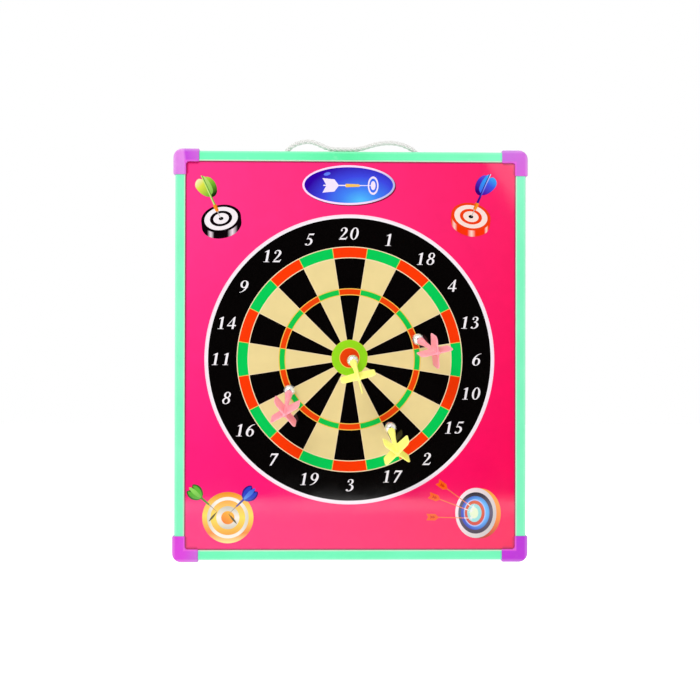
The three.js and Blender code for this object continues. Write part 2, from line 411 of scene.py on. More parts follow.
def plastic(name, body, shade, roughness, edge, along=None):
    """Satin plastic: a soft drift of colour, fine grain, faint scuffs, and drawn lines along an axis.

    edge is (its width round the board's opening, the width of its inner rim of painted highlight, the
    highlight's colour, and how far it reaches into the opening), with lengths in millimetres. Its paler outer
    edge is a painted reflection.
    """
    width, highlight_width, highlight_colour, overlap = edge
    shader = Shader(name, {"IOR": 1.47})
    drift = shader.spread(shader.noise(14, 2), 0.35, 0.65)
    scuffs = shader.spread(shader.noise(95, 6, rough=0.72), 0.6, 0.8)
    tinted = shader.mix(drift, shader.tone(body), shader.tone(shade))
    reach, _ = shader.beyond(OPENING[0] - overlap, OPENING[1] - overlap)
    # painted highlight: a pale rim along the opening, where a rounded lip would catch the light
    rim = shader.spread(reach, highlight_width * MM / 2, highlight_width * MM, 0.85, 0.0)
    tinted = shader.mix(rim, tinted, paint(*highlight_colour))
    # painted reflection: paler towards the outer edge
    tinted = shader.mix(shader.spread(reach, 0.72 * width * MM, width * MM, 0.0, 0.16), tinted, WHITE)
    shader.colour(shader.mix(shader.maths("MULTIPLY", scuffs, 0.12), tinted, WHITE))
    worn = shader.maths("MULTIPLY", scuffs, 0.25)
    shader.roughness(shader.maths("ADD", worn, shader.spread(drift, 0, 1, roughness, roughness + 0.06)))
    bumps = [(shader.noise(1300, 2), 0.00001), (drift, 0.00008)]
    if along:
        stretch = [3 if axis == along else 700 for axis in "xyz"]
        bumps.append((shader.noise(1, 2, shader.at(*stretch)), 0.000012))
    return shader.bump(*bumps)


def rope_material():
    """White cotton-like cord: yarns that run round each strand, with painted shade in the grooves between
    them, and loose fibres.
    """
    shader = Shader("rope", {"Roughness": 0.85, "Sheen Weight": 0.25, "Sheen Roughness": 0.5, "IOR": 1.4})
    yarn_inputs = {"Vector": shader.at(1, 330, 1, source="UV"), "Scale": 0.95, "Distortion": 0.7}
    yarns = shader.add("TexWave", yarn_inputs, bands_direction="DIAGONAL").outputs["Fac"]
    fibres = shader.noise(2600, 3)
    drift = shader.spread(shader.noise(60, 3), 0.3, 0.7)
    clean = shader.mix(drift, (0.79, 0.785, 0.765, 1), (0.72, 0.715, 0.69, 1))
    # painted shade: darker in the grooves between the yarns
    groove_shaded = shader.mix(yarns, (0.50, 0.495, 0.48, 1), clean)
    shader.colour(shader.mix(shader.spread(fibres, 0.3, 0.7, 0, 0.2), groove_shaded, (0.86, 0.86, 0.84, 1)))
    return shader.bump((yarns, 0.00022), (fibres, 0.00012))


# --- Carrying cord --------------------------------------------------------------------

CORD_Y = -6
CORD_ROUTE = [
    (-70.6, 209.0), (-67.4, 213.4), (-64.6, 216.6), (-61.0, 219.4), (-56.4, 221.6),
    (-51.0, 223.1), (-45.2, 223.9), (-39.4, 223.1), (-33.4, 220.9), (-27.4, 218.2),
    (-20.6, 216.3), (-13.4, 215.8), (-5.6, 215.8), (2.0, 215.9), (9.4, 216.8),
    (16.6, 218.6), (24.2, 220.9), (32.0, 222.5), (40.0, 223.0), (47.6, 222.4),
    (54.2, 220.8), (59.8, 218.5), (64.4, 215.9), (67.6, 213.0), (70.6, 209.0),
]
STRANDS = 3
STRAND_RADIUS = 1.27
STRAND_OFFSET = 1.22
STRAND_LAY = 17.0  # length of one full twist
STRAND_SIDES = 14
ROUTE_STEPS = 14
KNOT_TUBE = 1.25
KNOT_TURN = 0.94  # the share of the closed knot that the cord goes round
KNOT_STEPS = 90


def add_strands(name, line, material):
    """A laid rope along a level line: strands that wind round it."""
    run = lengths(line)
    strands, uvs = [], []
    for strand in range(STRANDS):
        centres = []
        for i, centre in enumerate(line):
            out = Vector((0, -1, 0))
            up = ahead(line, i).cross(out)
            angle = 2 * math.pi * (run[i] / (STRAND_LAY * MM) + strand / STRANDS)
            centres.append(centre + (out * math.cos(angle) + up * math.sin(angle)) * (STRAND_OFFSET * MM))
        vertices, faces, more_uvs = tube(centres, STRAND_RADIUS * MM, STRAND_SIDES)
        strands.append((vertices, faces))
        uvs += more_uvs
    return rope_piece(name, *joined(strands), uvs, material), run[-1]


def rope_piece(name, vertices, faces, uvs, material):
    piece = make_piece(name, vertices, faces, material, smooth_angle=60)
    layer = piece.data.uv_layers.new(name="along")
    layer.data.foreach_set("uv", [value for uv in uvs for value in uv])
    return piece


def add_knot(name, node, material):
    """A small overhand knot that fills the space of its CAD node."""
    low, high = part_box(node)
    centre, half = (low + high) / 2, (high - low) / 2
    line = []
    for i in range(KNOT_STEPS + 1):
        t = 2 * math.pi * KNOT_TURN * i / KNOT_STEPS
        reach = (2 + math.cos(3 * t)) / 3
        across = reach * math.cos(2 * t) * (half.x - KNOT_TUBE * MM)
        deep = reach * math.sin(2 * t) * (half.y - KNOT_TUBE * MM)
        over = math.sin(3 * t) * (half.z - KNOT_TUBE * MM)
        line.append(centre + Vector((across, deep, over)))
    knot = rope_piece(name, *tube(line, KNOT_TUBE * MM, STRAND_SIDES), material)
    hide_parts(node)
    return knot


def add_cord():
    material = rope_material()
    line = curve_through([(x * MM, CORD_Y * MM, z * MM) for x, z in CORD_ROUTE], ROUTE_STEPS)
    rope, length = add_strands("carrying_rope", line, material)
    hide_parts("hang_cord")
    knots = [add_knot("knot_" + side, "cord_knot_" + side, material) for side in ("left", "right")]


# --- Rails and caps -------------------------------------------------------------------

RAIL_WALL = 1.5
RAIL_OUTER_ROUND = 1.5
LIP_ROUND = 1.15
LIP_BACK_ROUND = 0.3
CORD_HOLE_X = 68.2
CORD_HOLE_LENGTH = 10.2
CORD_HOLE_WIDTH = 6.2

CAP_WIDTH = 13.3
CAP_OUTER_RADIUS = 9.5
CAP_INNER_RADIUS = 3.0
CAP_END_ROUND = 1.2
CAP_EDGE_ROUND = 1.0
CAP_EDGE_STEPS = 5
SOCKET_PLAY = 0.2
SOCKET_DEPTH_PLAY = 0.15

OPENING = (172.5, 202.5)  # half the width and height of the opening between the rails
RAIL_WIDTH = 10.5
RAIL_HIGHLIGHT, CAP_HIGHLIGHT = 1.5, 2.0  # the width of the painted highlight along the opening, on rails and on caps
CAP_OVERLAP = 0.8  # how far a cap reaches past a rail into the opening
RAIL_ROUGHNESS, CAP_ROUGHNESS = 0.3, 0.28
# The top rail's mint from its left end to its right one, with painted shading that is darkest near its
# middle.
TOP_RAIL_SHADING = (
    (0.28, (104, 243, 177)),
    (0.49, (85, 233, 158)),
    (0.62, (103, 240, 174)),
    (0.95, (119, 243, 186)),
)
# How each cap's purple changes from one place to another, both (x, z): painted reflections and shade, lighter
# on the top caps than on the bottom ones.
CAP_SHADING = {
    "top_left": (
        ((-185, 200), (-158, 204)),
        [(0.0, (220, 124, 224)), (0.42, (228, 132, 230)), (0.52, (198, 66, 218)), (1.0, (208, 98, 220))],
    ),
    "top_right": (((160, 215), (185, 190)), [(0.0, (212, 112, 234)), (1.0, (230, 96, 230))]),
    "bottom_left": (
        ((-185, -200), (-158, -206)),
        [(0.0, (222, 44, 219)), (0.5, (219, 52, 219)), (1.0, (202, 96, 214))],
    ),
    "bottom_right": (((185, -190), (160, -215)), [(0.0, (190, 30, 220)), (1.0, (199, 26, 222))]),
}


def rail_section(width, depth):
    """The channel's outline: x from the lips to the outer wall, y from the back to the front."""
    wall = RAIL_WALL
    corners = [
        (0, 0, LIP_BACK_ROUND),
        (width, 0, RAIL_OUTER_ROUND),
        (width, depth, RAIL_OUTER_ROUND),
        (0, depth, LIP_ROUND),
        (0, depth - wall, LIP_BACK_ROUND),
        (width - wall, depth - wall, 0),
        (width - wall, wall, 0),
        (0, wall, LIP_BACK_ROUND),
    ]
    return rounded(corners, segments=6)


def add_rail(node, outward, material):
    """A rail with rounded lips in the place of its CAD node."""
    low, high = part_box(node)
    outward = Vector(outward)
    along = Vector((1, 0, 0)) if outward.z else Vector((0, 0, 1))
    outer = max(low.dot(outward), high.dot(outward))
    inner = min(low.dot(outward), high.dot(outward))
    section = rail_section((outer - inner) / MM, (high.y - low.y) / MM)
    loops = []
    for end in (low.dot(along), high.dot(along)):
        ring = [outward * (inner + p.x * MM) + Vector((0, high.y - p.y * MM, 0)) for p in section]
        loops.append([point + along * end for point in ring])
    vertices, faces = stack(loops)
    rail = make_piece(node + "_moulding", vertices, faces, material)
    face_outwards(rail)
    if node == "rail_top":
        cut(rail, [cord_hole(side * CORD_HOLE_X * MM, outer) for side in (-1, 1)])
    shade_smooth(rail, 50)
    keep_flats_flat(rail)
    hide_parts(node)


def face_outwards(piece):
    """Turns a closed mesh's faces so that they all point out of it."""
    mesh = piece.data
    volume = 0.0
    for face in mesh.polygons:
        volume += face.center.dot(face.normal) * face.area
    if volume < 0:
        mesh.flip_normals()


def cord_hole(x, top):
    """The oblong hole for the cord through the top rail's outer wall, as (vertices, faces)."""
    half, radius = CORD_HOLE_LENGTH / 2, CORD_HOLE_WIDTH / 2
    outline = rounded([(i * half, k * radius, 0.99 * radius) for i, k in SQUARE], segments=10)
    loops = []
    for z in (top - 2 * RAIL_WALL * MM, top + RAIL_WALL * MM):
        loops.append([Vector((x + p.x * MM, (CORD_Y + p.y) * MM, z)) for p in outline])
    return stack(loops)


def cap_outline(arm, inset):
    """The cap's L in its own frame: the corner of the board at the origin, the arms along -x and -z."""
    outer, inner, tip = -inset, inset - CAP_WIDTH, inset - arm
    end_round = CAP_END_ROUND - inset
    corners = [
        (outer, outer, CAP_OUTER_RADIUS - inset),
        (tip, outer, end_round),
        (tip, inner, end_round),
        (inner, inner, CAP_INNER_RADIUS + inset),
        (inner, tip, end_round),
        (outer, tip, end_round),
    ]
    return rounded(corners, segments=8)


def add_cap(node, material):
    """A corner cap with rounded edges and the sockets for its two rails."""
    low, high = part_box(node)
    corner = Vector((max(low.x, high.x, key=abs), 0, max(low.z, high.z, key=abs)))
    right, top = math.copysign(1, corner.x), math.copysign(1, corner.z)
    quarter = [math.pi / 2 * step / CAP_EDGE_STEPS for step in range(CAP_EDGE_STEPS + 1)]
    loops = []
    for face_y, inwards, angles in ((high.y, -MM, quarter), (low.y, MM, quarter[::-1])):
        for angle in angles:
            outline = cap_outline((high.x - low.x) / MM, CAP_EDGE_ROUND * (1 - math.sin(angle)))
            y = face_y + inwards * CAP_EDGE_ROUND * (1 - math.cos(angle))
            loops.append([corner + Vector((right * p.x * MM, y, top * p.y * MM)) for p in outline])
    vertices, faces = stack(loops)
    cap = make_piece(node + "_moulding", vertices, faces, material)
    face_outwards(cap)
    cut(cap, cap_sockets(right, top))
    shade_smooth(cap, 40)
    keep_flats_flat(cap)
    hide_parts(node)


def cap_sockets(right, top):
    """The rooms in a cap for the end of each rail and for the panel's corner."""
    play = SOCKET_PLAY * MM
    level, side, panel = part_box("rail_top"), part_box("rail_right"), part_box("core_panel")
    inside = 0.1  # well past the arms' ends, towards the middle of the board
    front, back = level[0].y - SOCKET_DEPTH_PLAY * MM, level[1].y + SOCKET_DEPTH_PLAY * MM
    wall = RAIL_WALL * MM
    rooms = [
        ((inside, level[1].x + play), (front, back), (level[0].z - play, level[1].z + play)),
        ((side[0].x - play, side[1].x + play), (front, back), (inside, level[0].z)),
        ((inside, panel[1].x + play), (front + wall, back - wall), (inside, panel[1].z + play)),
    ]
    cutters = []
    for xs, ys, zs in rooms:
        xs, zs = sorted(right * x for x in xs), sorted(top * z for z in zs)
        cutters.append(standing_block(*zip(xs, ys, zs)))
    return cutters


def add_frame():
    # the pale colour here is the rails' painted highlight along their lips
    rail_edge = (RAIL_WIDTH, RAIL_HIGHLIGHT, (215, 238, 212), 0)
    ends = (-OPENING[0], 0), (OPENING[0], 0)
    # Painted shading: the rails are one mint plastic, but the top, bottom and side rails get lit and shaded
    # copies of it, the sides painted lighter than the bottom.
    top_body = along_line(*ends, TOP_RAIL_SHADING)
    top_shade = along_line(*ends, TOP_RAIL_SHADING, share=1.04)
    top = plastic("mint_top", top_body, top_shade, RAIL_ROUGHNESS, rail_edge, "x")
    level = plastic("mint_level", (104, 244, 180), (114, 247, 190), RAIL_ROUGHNESS, rail_edge, "x")
    upright = plastic("mint_upright", (122, 243, 188), (134, 246, 197), RAIL_ROUGHNESS, rail_edge, "z")
    add_rail("rail_top", (0, 0, 1), top)
    add_rail("rail_bottom", (0, 0, -1), level)
    add_rail("rail_left", (-1, 0, 0), upright)
    add_rail("rail_right", (1, 0, 0), upright)
    # the light pink here is the caps' painted highlight along their inner edges
    cap_edge = (CAP_WIDTH, CAP_HIGHLIGHT, (236, 92, 220), CAP_OVERLAP)
    # each cap gets its own copy of the purple, with painted reflections and shade
    for corner, (run, stops) in CAP_SHADING.items():
        body, shade = along_line(*run, stops), along_line(*run, stops, share=0.94)
        add_cap("corner_cap_" + corner, plastic("purple_" + corner, body, shade, CAP_ROUGHNESS, cap_edge))


# --- Print on the steel face ----------------------------------------------------------

PRINT_HEIGHT = 0.05


def ink(name, colour):
    """Glossy ink under lacquer. colour is sRGB levels, or a function of the shader."""
    shader = Shader(name, {"IOR": 1.52})
    mottle = shader.spread(shader.noise(60, 3), 0.3, 0.7, 0.0, 0.05)
    shader.colour(shader.mix(mottle, shader.tone(colour), (0, 0, 0, 1)))
    shader.roughness(shader.spread(shader.noise(22, 5, rough=0.6), 0.35, 0.75, 0.04, 0.09))
    return shader.bump((shader.noise(9, 1), 0.00012), (shader.noise(700, 1), 0.000002))


def along_line(start, end, stops, share=1.0):
    """A colour that runs from start to end, (x, z) in millimetres, with every level multiplied by share."""
    start, end = Vector(start) * MM, Vector(end) * MM
    step = (end - start) / (end - start).length_squared
    toned = [(place, [share * level for level in colour]) for place, colour in stops]

    def make(shader):
        along = shader.add("VectorMath", {0: shader.place, 1: (step.x, 0, step.y)}, operation="DOT_PRODUCT")
        return shader.ramp(shader.maths("SUBTRACT", along.outputs["Value"], start.dot(step)), toned)

    return make


def round_point(centre, half_x, half_z, stops):
    """A colour that runs outwards from a point, (x, z) in millimetres, to an ellipse round it."""
    scale = (1 / (half_x * MM), 0, 1 / (half_z * MM))
    shift = (-centre[0] / half_x, 0, -centre[1] / half_z)

    def make(shader):
        away = shader.add("VectorMath", {0: shader.place, 1: scale, 2: shift}, operation="MULTIPLY_ADD")
        length = shader.add("VectorMath", {0: away.outputs[0]}, operation="LENGTH")
        return shader.ramp(length.outputs["Value"], stops)

    return make


def print_layers(prefix, layers, inks):
    """Prints layers (ink name, outline) on the face as thin flat pieces, later ones over earlier ones."""
    points, outlines = [], []
    for _, outline in layers:
        outlines.append(list(range(len(points), len(points) + len(outline))))
        points += anticlockwise(outline)
    flat, _, triangles, _, _, sources = delaunay_2d_cdt(points, [], outlines, 1, 1e-5)
    by_ink = {}
    for triangle, source in zip(triangles, sources):
        if source:
            by_ink.setdefault(layers[max(source)][0], []).append(triangle)
    face_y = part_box("front_sheet")[0].y
    for name, chosen in by_ink.items():
        vertices, faces = plate(flat, chosen, face_y, face_y - PRINT_HEIGHT * MM)
        full_name = f"{prefix}_{name}"
        make_piece(full_name, vertices, faces, ink(full_name, inks[name]))


def anticlockwise(outline):
    """An outline's points in the order in which the triangulation takes them as a filled shape."""
    points = [Vector((p[0], p[1])) for p in outline]
    area = sum(a.x * b.y - b.x * a.y for a, b in zip(points, points[1:] + points[:1]))
    return points if area > 0 else points[::-1]


def plate(flat, triangles, back, front):
    """The triangles of a flat drawing as a thin closed plate between two depths."""
    used = sorted({i for triangle in triangles for i in triangle})
    renumbered = {old: new for new, old in enumerate(used)}
    count = len(used)
    vertices = [Vector((flat[i].x * MM, y, flat[i].y * MM)) for y in (front, back) for i in used]
    faces, edges = [], set()
    for triangle in triangles:
        a, b, c = (renumbered[i] for i in triangle)
        faces.append((a, b, c))
        faces.append((c + count, b + count, a + count))
        edges |= {(a, b), (b, c), (c, a)}
    for a, b in sorted(edges):
        if (b, a) not in edges:
            faces.append((b, a, a + count, b + count))
    return vertices, faces


DIAL_CENTRE = (-1.0, -4.0)
DIAL_EDGE = 151.3
BLACK_EDGE = 147.5
DOUBLE_RING = (106.0, 117.4)
TRIPLE_RING = (67.4, 73.7)
OUTER_BULL = 18.7
INNER_BULL = 10.0
BULL_CENTRE = (-1.1, -2.5)  # the print has it a little above the middle of the rings
UNDER_BULL = 3  # how far the inner cells run in under the bull
RING_LINE = 0.85
SECTOR_LINE = 0.6
SECTORS = 20
NUMBERS = (20, 1, 18, 4, 13, 6, 10, 15, 2, 17, 3, 19, 7, 16, 8, 11, 14, 9, 12, 5)
NUMBER_RADII = (133.6, 131.3)
# The print's own uneven spacing: how far some numbers lie from their even place.
NUMBER_SHIFTS = {
    18: (1.6, -1), 13: (-0.5, -2), 10: (0.5, 5), 15: (1.7, 6), 2: (3.4, 2.3), 17: (3.8, 2.7),
    3: (1.8, 0), 7: (0, 1.7), 16: (0, 3), 14: (-0.5, -3), 9: (-1.3, -1.6), 12: (-1.7, 1.2),
}
NUMBER_HEIGHT = 12.5
NUMBER_WIDTH = 15.2  # of one unit of a glyph's outline
NUMBER_ADVANCE = 0.73
NUMBER_SLANT = 0.18
ARC_STEPS = 8
DIAL_COUNT = 240


def cell(sector, inner, outer, gap):
    """A cell of the dial between two radii, which keeps half the line's width to its neighbours."""
    half = math.pi / SECTORS
    middle = 2 * half * sector
    outline = []
    for radius, order in ((inner, 1), (outer, -1)):
        reach = half - math.asin(gap / 2 / radius)
        for i in range(ARC_STEPS + 1):
            angle = middle + order * reach * (2 * i / ARC_STEPS - 1)
            x, z = radius * math.sin(angle), radius * math.cos(angle)
            outline.append(Vector((DIAL_CENTRE[0] + x, DIAL_CENTRE[1] + z)))
    return outline


def turned_glyph(strokes):
    """A glyph turned by half a turn about its middle."""
    middle = Vector((GLYPH_WIDTH, 1.0))
    return [(fill, [middle - Vector(p[:2]) for p in outline]) for fill, outline in strokes]


GLYPH_WIDTH = 0.62
ZERO = [
    (True, ellipse(0.31, 0.5, 0.28, 0.51, count=40)),
    (False, ellipse(0.31, 0.5, 0.138, 0.455, count=32)),
]
ONE_FLAG = [(0.13, 0.82), (0.15, 0.87), (0.36, 1.01), (0.425, 1.01), (0.425, 0.04)]
ONE_FOOT = [
    (0.54, 0.03), (0.54, 0.0), (0.14, 0.0), (0.14, 0.03), (0.275, 0.05), (0.275, 0.83), (0.225, 0.855),
]
TWO_BOW = [
    (0.085, 0.74, 0.04), (0.12, 0.88, 0.05), (0.24, 0.975, 0.06), (0.38, 0.94, 0.115),
    (0.455, 0.78, 0.155), (0.40, 0.58, 0.14), (0.27, 0.36, 0.09), (0.11, 0.12, 0.055),
]
TWO_BASE = [(0.04, 0.0), (0.52, 0.0), (0.60, 0.23), (0.565, 0.23), (0.48, 0.125), (0.17, 0.125), (0.04, 0.04)]
THREE_TOP = [
    (0.10, 0.79, 0.04), (0.14, 0.91, 0.05), (0.26, 0.975, 0.055), (0.385, 0.92, 0.10),
    (0.425, 0.78, 0.13), (0.36, 0.63, 0.08), (0.21, 0.54, 0.035),
]
THREE_BOTTOM = [
    (0.21, 0.55, 0.035), (0.38, 0.505, 0.085), (0.475, 0.36, 0.14), (0.465, 0.20, 0.14),
    (0.34, 0.05, 0.08), (0.20, 0.02, 0.05), (0.09, 0.06, 0.05),
]
FOUR = [(0.495, 0.0), (0.495, 0.23), (0.62, 0.23), (0.62, 0.32), (0.495, 0.32), (0.495, 1.01), (0.42, 1.01)]
FOUR_LEFT = [(0.02, 0.31), (0.02, 0.23), (0.36, 0.23), (0.36, 0.0)]
FOUR_COUNTER = [(0.085, 0.32), (0.36, 0.32), (0.36, 0.80)]
FIVE_FLAG = [
    (0.11, 0.50), (0.21, 0.99), (0.57, 1.01), (0.53, 0.87), (0.235, 0.87), (0.195, 0.66), (0.14, 0.52),
]
FIVE_BOW = [
    (0.125, 0.545, 0.045), (0.27, 0.585, 0.10), (0.42, 0.47, 0.14), (0.455, 0.28, 0.14),
    (0.36, 0.095, 0.09), (0.22, 0.025, 0.05), (0.09, 0.06, 0.05),
]
SIX_TAIL = [
    (0.10, 0.32, 0.13), (0.125, 0.52, 0.13), (0.23, 0.76, 0.10), (0.38, 0.92, 0.06), (0.56, 1.0, 0.03),
]
SEVEN = [(0.06, 0.72), (0.12, 1.0), (0.60, 1.0), (0.60, 0.94), (0.26, 0.0), (0.13, 0.0), (0.44, 0.865)]
SEVEN_BAR = [(0.16, 0.865), (0.09, 0.72)]
# The strokes of each digit, (whether it is white or the black of a gap, outline), in units of its height.
GLYPHS = {
    "0": ZERO,
    "1": [(True, ONE_FLAG + ONE_FOOT)],
    "2": [(True, brush(TWO_BOW)), (True, TWO_BASE), (True, circle(0.13, 0.77, 0.065, 20))],
    "3": [
        (True, brush(THREE_TOP)),
        (True, brush(THREE_BOTTOM)),
        (True, circle(0.14, 0.80, 0.06, 20)),
        (True, circle(0.125, 0.10, 0.07, 20)),
    ],
    "4": [(True, FOUR + FOUR_LEFT), (False, FOUR_COUNTER)],
    "5": [(True, FIVE_FLAG), (True, brush(FIVE_BOW)), (True, circle(0.125, 0.10, 0.07, 20))],
    "6": [
        (True, brush(SIX_TAIL)),
        (True, ellipse(0.31, 0.31, 0.27, 0.32, count=40)),
        (False, ellipse(0.32, 0.295, 0.125, 0.255, count=32)),
    ],
    "7": [(True, SEVEN + SEVEN_BAR)],
    "8": [
        (True, ellipse(0.32, 0.755, 0.225, 0.255, count=36)),
        (True, ellipse(0.30, 0.265, 0.265, 0.275, count=36)),
        (False, ellipse(0.33, 0.765, 0.11, 0.19, count=28)),
        (False, ellipse(0.295, 0.25, 0.135, 0.21, count=28)),
    ],
}
GLYPHS["9"] = turned_glyph(GLYPHS["6"])


def number_layers(number, sector):
    """A number of the dial, upright, at its sector."""
    angle = 2 * math.pi * sector / SECTORS
    aside, above = NUMBER_SHIFTS.get(number, (0, 0))
    x = DIAL_CENTRE[0] + NUMBER_RADII[0] * math.sin(angle) + aside
    z = DIAL_CENTRE[1] + NUMBER_RADII[1] * math.cos(angle) + above
    digits = str(number)
    layers = []
    for place, digit in enumerate(digits):
        left = (place - len(digits) / 2) * NUMBER_ADVANCE
        for fill, outline in GLYPHS[digit]:
            moved = []
            for p in outline:
                up = (p[1] - 0.5) * NUMBER_HEIGHT
                moved.append((x + (left + p[0]) * NUMBER_WIDTH + NUMBER_SLANT * up, z + up))
            layers.append(("white" if fill else "black", moved))
    return layers


def dial_circle(radius):
    return circle(*DIAL_CENTRE, radius, count=DIAL_COUNT)


def add_dial():
    """The dial: its cells lie on pale and gold discs, which show between them as the lines."""
    line = RING_LINE / 2
    layers = [("white", dial_circle(DIAL_EDGE)), ("black", dial_circle(BLACK_EDGE))]
    wide, double, triple = ("black", "cream"), ("red", "green"), ("warm_red", "leaf_green")
    # Each disc: its ink, its radius, and where its cells end and their two inks, if it has any.
    fields = (
        ("pale", DOUBLE_RING[1] + line, None, None),
        ("gold", DOUBLE_RING[1] - line, DOUBLE_RING[0] + line, double),
        ("pale", DOUBLE_RING[0] + line, None, None),
        ("pale", DOUBLE_RING[0] - line, TRIPLE_RING[1] + line, wide),
        ("gold", TRIPLE_RING[1] + line, None, None),
        ("gold", TRIPLE_RING[1] - line, TRIPLE_RING[0] + line, triple),
        ("pale", TRIPLE_RING[0] - line, OUTER_BULL - UNDER_BULL, wide),
    )
    for lines, outer, inner, cell_inks in fields:
        layers.append((lines, dial_circle(outer)))
        if inner is None:
            continue
        for sector in range(SECTORS):
            layers.append((cell_inks[sector % 2], cell(sector, inner, outer, SECTOR_LINE)))
    layers += [
        ("gold", circle(*BULL_CENTRE, OUTER_BULL + line / 2)),
        ("lime", circle(*BULL_CENTRE, OUTER_BULL)),
        ("gold", circle(*BULL_CENTRE, INNER_BULL + 2 * line)),
        ("warm_red", circle(*BULL_CENTRE, INNER_BULL)),
    ]
    for sector, number in enumerate(NUMBERS):
        layers += number_layers(number, sector)
    paper = [(0.982, (247, 242, 246)), (1.0, (255, 218, 238))]
    inks = {
        "white": round_point(DIAL_CENTRE, DIAL_EDGE, DIAL_EDGE, paper),
        "black": (7, 5, 5),
        "gold": (250, 198, 84),
        "pale": (250, 226, 182),
        "red": (252, 58, 6),
        "green": (8, 203, 86),
        "warm_red": (240, 68, 10),
        "leaf_green": (22, 198, 76),
        "cream": (238, 216, 152),
        "lime": (150, 222, 32),
    }
    print_layers("dial", layers, inks)


def mirrored(outline):
    """The other half of an outline whose first half runs down the left of its middle line."""
    return [(-x, z) for x, z in outline[::-1]]


def placed(outline, origin, angle, mirror=1):
    """An outline in a picture's own frame (across, back from the tip), set at origin and turned."""
    turn = Matrix.Rotation(math.radians(angle), 2)
    return [Vector(origin) + turn @ Vector((mirror * p[0], p[1])) for p in outline]


def swept(outline, shift):
    """The outline that a convex, anticlockwise outline covers as it moves by shift."""
    shift = Vector(shift)
    moved = []
    for i, p in enumerate(outline):
        run = outline[(i + 1) % len(outline)] - outline[i - 1]
        outwards = Vector((run.y, -run.x))
        moved.append(p + shift if outwards.dot(shift) > 0 else p)
    return moved


WING = [(0, 25.5), (-4.4, 28), (-7.9, 32.5), (-10.2, 38), (-10.8, 43), (-8.6, 47), (-4.4, 48.8), (0, 46)]
FAR_WING = [
    (0, 24.6), (4, 24.6), (7.6, 27), (9.8, 31.5), (10.4, 37), (9.2, 42.5), (6.4, 46.4), (2.6, 48), (0, 46),
]
INNER_VANE = [(0.6, 27.5), (4.4, 30), (5.4, 36), (4.6, 43), (1.8, 49.5), (0.4, 49)]
RING_SHARES = (1.0, 0.84, 0.56, 0.39, 0.12)
DART_SCALE = 0.955


def disc_and_dart(prefix, centre, mirror, inks):
    """A tilted round target with a heart-flighted dart in its middle."""
    half_x, half_z, tilt = 20.9, 14.2, 12 * mirror
    disc = ellipse(*centre, half_x, half_z, tilt)
    layers = [("rim", swept(disc, (0.6 * mirror, -6.4)))]
    for i, share in enumerate(RING_SHARES[:-1]):
        name = "ring" if i % 2 == 0 else "face"
        layers.append((name, ellipse(*centre, half_x * share, half_z * share, tilt)))
    dot = RING_SHARES[-1]
    layers.append(("dot", ellipse(*centre, half_x * dot, half_z * dot, tilt, count=32)))
    angle = 24.3 * mirror
    tip = Vector(centre) + Vector((-0.6 * mirror, 0.4))
    shapes = [
        ("far_wing", curve_through(FAR_WING, 6)),
        ("near_wing", curve_through(WING, 6)),
        ("vane", curve_through(INNER_VANE, 5, closed=True)),
        ("shaft_edge", [(0.1, 15), (1.3, 15), (1.2, 50.5), (0.1, 50.5)]),
        ("shaft", [(-1.1, 15), (0.4, 15), (0.3, 51), (-0.7, 51)]),
        ("point", [(-0.3, 0), (0.3, 0), (0.5, 9), (-0.5, 9)]),
        ("barrel", rounded([(-1.7, 8, 0.8), (1.7, 8, 0.8), (2.1, 16, 0.4), (-2.1, 16, 0.4)], 4)),
        ("barrel_shade", [(0.5, 8.2), (1.4, 8.6), (1.9, 15.9), (0.8, 15.9)]),
    ]
    for name, outline in shapes:
        layers.append((name, placed([Vector(p) * DART_SCALE for p in outline], tip, angle, mirror)))
    print_layers(prefix, layers, inks)


def rim_stops(dark, light, gleams):
    """Stops across a rim that is dark but for soft gleams, each (place, half width)."""
    stops = [(0.0, dark)]
    for place, half in gleams:
        stops += [(place - half, dark), (place, light), (place + half, dark)]
    return stops


